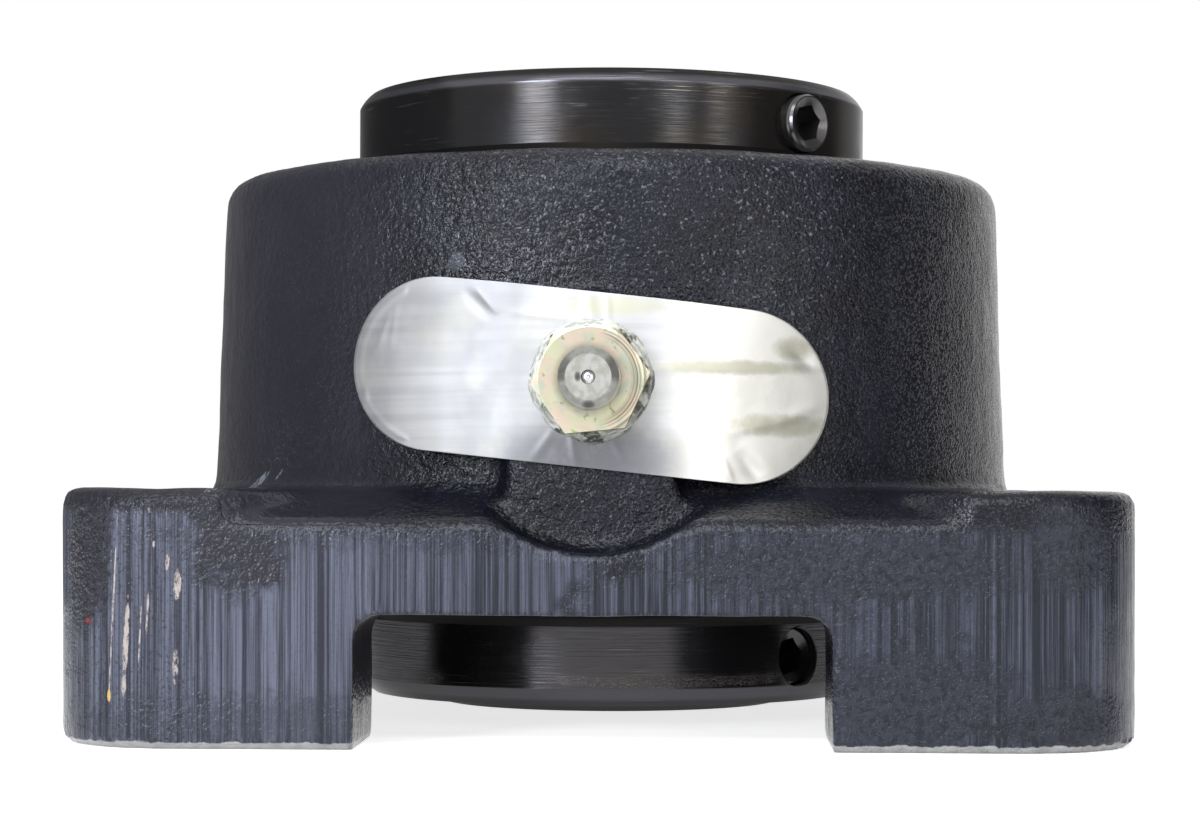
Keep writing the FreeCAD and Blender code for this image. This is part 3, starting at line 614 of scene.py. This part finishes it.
# Grease fitting: zinc-plated steel with a yellow passivated hexagon and a greyer head, screwed into the
# boss. A bead of clear thread sealant has squeezed out round the hexagon and set, with dirt in it and
# painted shade in its gaps at the bottom and on the right.
def round_fitting(tree):
    """A point's way across and up from the fitting's axis, and its distance from that axis."""
    away = add_node(tree, "ShaderNodeVectorMath", {0: position(tree), 1: (boss_offset, 0, bearing_mid)},
                    operation="SUBTRACT").outputs["Vector"]
    x_way, _, z_way = parted(tree, away)
    return x_way, z_way, hypotenuse(tree, x_way, z_way)


def drawn_noise(tree, detail, roughness, **ways):
    """Noise over values given as the ways X and Y of a flat drawing."""
    drawing = add_node(tree, "ShaderNodeCombineXYZ", ways).outputs[0]
    return noise(tree, 1.0, detail, roughness, drawing)


zinc, tree, shader = new_material("fitting zinc", (0.55, 0.53, 0.46), 0.3, 0.85)
x_way, z_way, ring = round_fitting(tree)
ring_lines = drawn_noise(tree, 2.0, 0.6, X=times(tree, ring, 3300))
deep = times(tree, ramp(tree, ring, 4.3 * MM, 4.9 * MM), ramp(tree, x_way, 0.5 * MM, 3 * MM))
ring_relief = times(tree, ring_lines, plus(tree, times(tree, deep, 1.6), 0.25))
tint = blend(tree, ramp(tree, noise(tree, 2.4 * MM, 3.0), 0.4, 0.6), (0.5, 0.5, 0.34), (0.56, 0.46, 0.37))
tint = blend(tree, ramp(tree, noise(tree, 1.9 * MM, 3.0), 0.48, 0.66), tint, (0.44, 0.45, 0.355))
tint = blend(tree, ramp(tree, noise(tree, 0.8 * MM, 3.0), 0.62, 0.72), tint, (0.3, 0.29, 0.16))
shaded_ring = times(tree, ramp(tree, ring, 4.3 * MM, 3.2 * MM), ramp(tree, x_way, 3 * MM, -2 * MM, 0.25, 0.7))
tint = blend(tree, shaded_ring, tint, (0.2, 0.19, 0.13))
tint = blend(tree, times(tree, deep, ramp(tree, ring_lines, 0.55, 0.42, 0.0, 0.75)), tint, (0.14, 0.12, 0.06))
head_smears_and_shadow = ramp(tree, noise(tree, 0.9 * MM, 3.0), 0.4, 0.62)
head_smears_and_shadow = blend(tree, head_smears_and_shadow, (0.42, 0.415, 0.39), (0.33, 0.325, 0.29))
head_smears_and_shadow = blend(tree, ramp(tree, ring, 2.2 * MM, 2.75 * MM, 0.0, 0.35), head_smears_and_shadow, (0.16, 0.16, 0.15))
# Two dark spots on the head: the left one a brown stain, the lower one painted shadow near the head's lower
# edge.
stain_and_shadow_spots = front_spots(tree, [(-1.5, 39.55, 0.3, 0.5), (-0.35, 36.6, 0.65, 0.4)], ragged=0.3, soft=0.95)
head_smears_and_shadow = blend(tree, stain_and_shadow_spots, head_smears_and_shadow, (0.09, 0.09, 0.085))
on_nut = ramp(tree, ring, 3.1 * MM, 3.5 * MM)
feed(tree, shader, {"Base Color": blend(tree, on_nut, head_smears_and_shadow, tint),
                    "Normal": bump(tree, plus(tree, ring_relief, noise(tree, 1.4 * MM, 3.0)), 0.04 * MM)})
dress(zinc, "grease_fitting_body")

fitting_turn = radians(24.5)
hexagon_half = 5.555 * MM
bead_radius = 6.95 * MM
bead_height = 1.4 * MM


def bead_surface(turns, rings):
    """Ring of sealant: from just inside the hexagon out to a wavy rim on the label, humped in between."""
    angle = np.arange(turns) / turns * 2 * np.pi
    share = np.linspace(0, 1, rings)[:, None]
    sector = np.mod(np.pi / 2 - angle - fitting_turn, np.pi / 3) - np.pi / 6
    inner = hexagon_half / np.cos(sector) - 0.1 * MM
    way = np.stack([np.cos(angle), np.sin(angle), 0 * angle], axis=-1)
    outer = bead_radius + 0.35 * MM * smooth_noise(way * 7 * MM, 2.2 * MM, 5)
    rise = bead_height + 0.7 * MM * smooth_noise(way * 7 * MM, 1.8 * MM, 6)
    radius = inner * (1 - share) + outer * share
    hump = rise * (1 - share ** 1.6) + 0.35 * MM * np.sin(np.pi * share) - 0.1 * MM * share
    spot = np.stack([radius * way[:, 0], hump, radius * way[:, 1]], axis=-1)
    lump = 0.22 * MM * smooth_noise(spot.reshape(-1, 3), 0.7 * MM, 7).reshape(spot.shape[:2])
    hump = hump + lump * np.sin(np.pi * share)
    return np.stack([boss_offset + radius * way[:, 0], -(boss_face + hump), bearing_mid + radius * way[:, 1]],
                    axis=-1)


resin, tree, shader = new_material("thread sealant", (0.6, 0.6, 0.55), 0.13)
x_way, z_way, ring = round_fitting(tree)
around = math(tree, "ARCTAN2", z_way, x_way)
strands = drawn_noise(tree, 4.0, 0.65, X=times(tree, ring, 3000), Y=times(tree, around, 3.4))
right_shade = ramp(tree, math(tree, "ABSOLUTE", plus(tree, z_way, 2.2 * MM)), 3.2 * MM, 1.6 * MM)
right_shade = times(tree, ramp(tree, x_way, 3.6 * MM, 5.2 * MM), right_shade)
shadowed = math(tree, "MAXIMUM", ramp(tree, z_way, -4.6 * MM, -6.0 * MM), right_shade)
murk = plus(tree, noise(tree, 1.8 * MM, 3.0, 0.6), times(tree, shadowed, 0.1))
# Dark patches of dirt, and painted shade where the bead's gaps at the bottom and right lie.
dirt_and_shade = times(tree, ramp(tree, murk, 0.54, 0.64), ramp(tree, strands, 0.36, 0.52))
clear = blend(tree, ramp(tree, strands, 0.4, 0.6), (0.36, 0.37, 0.32), (0.68, 0.68, 0.64))
feed(tree, shader, {"Base Color": blend(tree, dirt_and_shade, clear, (0.08, 0.08, 0.065)),
                    "Normal": bump(tree, plus(tree, strands, noise(tree, 0.8 * MM, 3.0)), 0.16 * MM)})
bead = link_grid("sealant_bead", bead_surface(300, 18)[::-1], resin, "flange_unit")
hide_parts("fitting_sealant")
